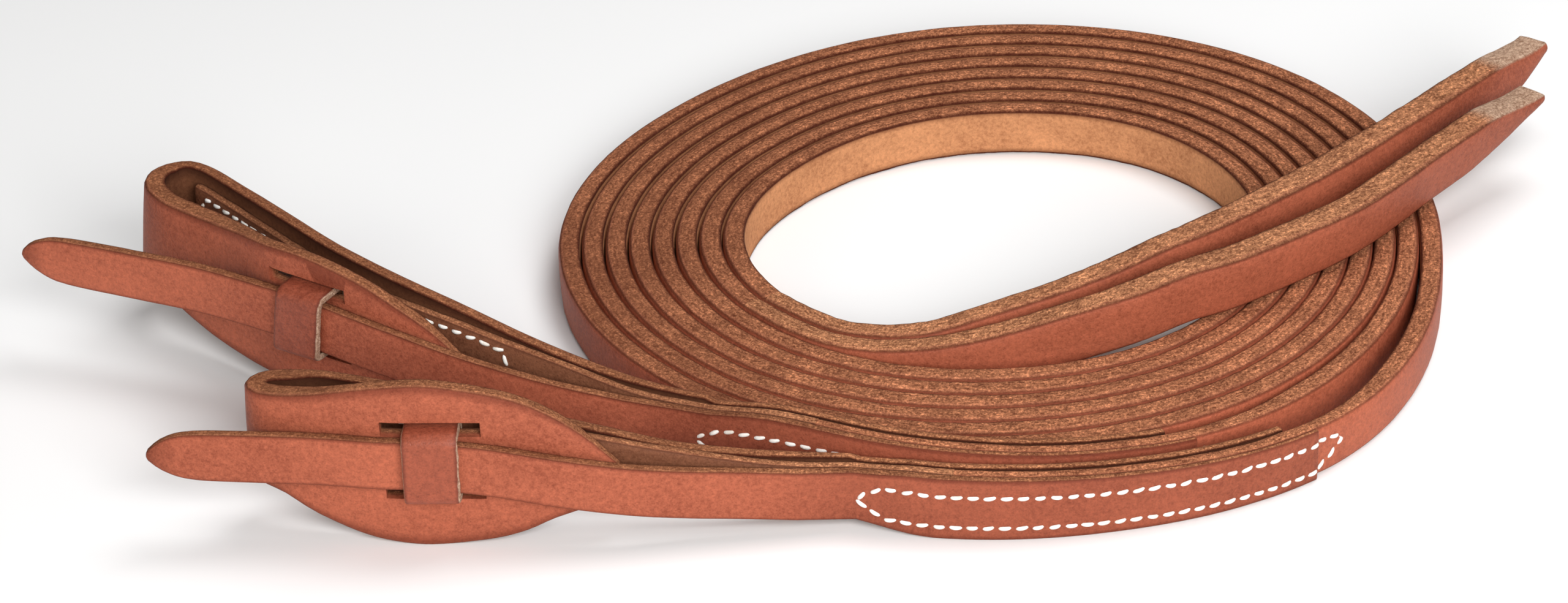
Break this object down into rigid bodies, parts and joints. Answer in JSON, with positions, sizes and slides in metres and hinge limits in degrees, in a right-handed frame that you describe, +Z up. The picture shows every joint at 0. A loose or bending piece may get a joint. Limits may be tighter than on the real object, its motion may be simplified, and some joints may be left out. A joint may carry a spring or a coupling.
{
  "type": "leather reins",
  "caption": "Pair of split leather reins with quick-change bit ends, coiled together on edge, with both heavy tails crossing the coil.",
  "frame": {"origin": "centre of the bounding box, on the surface that the reins lie on", "axes": "+X along the longest extent, from the bit ends to the tails; +Y away from the sewn laps towards the far side of the coil; +Z up"},
  "size_m": [0.3788, 0.2296, 0.0424],
  "materials": {
    "strap_leather": "oiled red-brown harness leather, tan edges",
    "lap_leather": "darker oiled red-brown latigo, tan flesh side",
    "keeper_leather": "oiled red-brown latigo with a raw cut edge",
    "thread": "white waxed sewing thread"
  },
  "bodies": {
    "coil": {"front_rein_coil": "strap_leather", "front_tongue_lap": "lap_leather", "front_loop_lap": "lap_leather", "front_lap_stitching": "thread", "rear_rein_coil": "strap_leather", "rear_tongue_lap": "lap_leather", "rear_loop_lap": "lap_leather", "rear_lap_stitching": "thread"},
    "front_bit_end": {"front_tongue": "lap_leather", "front_loop_strap": "lap_leather", "front_rein_inner_end": "strap_leather", "front_end_stitching": "thread"},
    "rear_bit_end": {"rear_tongue": "lap_leather", "rear_loop_strap": "lap_leather", "rear_rein_inner_end": "strap_leather", "rear_end_stitching": "thread"},
    "front_keeper_ring": {"front_keeper": "keeper_leather"},
    "rear_keeper_ring": {"rear_keeper": "keeper_leather"},
    "front_tip": {"front_tongue_tip": "lap_leather"},
    "rear_tip": {"rear_tongue_tip": "lap_leather"},
    "front_tail": {"front_rein_tail": "strap_leather"},
    "rear_tail": {"rear_rein_tail": "strap_leather"}
  },
  "joints": [
    {"name": "front_bit_end_swing", "type": "hinge", "parent": "coil", "child": "front_bit_end", "pos_m": [0.01244, -0.10573, 0.0096], "axis": [0, 0, 1], "range_deg": [0, 15]},
    {"name": "rear_bit_end_swing", "type": "hinge", "parent": "coil", "child": "rear_bit_end", "pos_m": [-0.02082, -0.0814, 0.0123], "axis": [0, 0, 1], "range_deg": [-4, 4]},
    {"name": "front_keeper_slide", "type": "slide", "parent": "front_bit_end", "child": "front_keeper_ring", "axis": [1, 0, 0], "range_m": [-0.0015, 0.0015]},
    {"name": "rear_keeper_slide", "type": "slide", "parent": "rear_bit_end", "child": "rear_keeper_ring", "axis": [0.878, -0.4787, 0], "range_m": [-0.0015, 0.0015]},
    {"name": "front_tongue_tip_bend", "type": "hinge", "parent": "front_bit_end", "child": "front_tip", "pos_m": [-0.09236, -0.11209, 0.0233], "axis": [0, 0, 1], "range_deg": [0, 30]},
    {"name": "rear_tongue_tip_bend", "type": "hinge", "parent": "rear_bit_end", "child": "rear_tip", "pos_m": [-0.12705, -0.05046, 0.027], "axis": [0, 0, 1], "range_deg": [0, 30]},
    {"name": "rear_tail_swing", "type": "hinge", "parent": "coil", "child": "rear_tail", "pos_m": [-0.00594, -0.02277, 0.00635], "axis": [0, 0, 1], "range_deg": [0, 6]},
    {"name": "front_tail_swing", "type": "hinge", "parent": "coil", "child": "front_tail", "pos_m": [-0.01091, -0.02569, 0.00635], "axis": [0, 0, 1], "range_deg": [0, 6]}
  ],
  "couplings": [
    {"joint": "front_tail_swing", "follows": "rear_tail_swing", "ratio": 1}
  ]
}
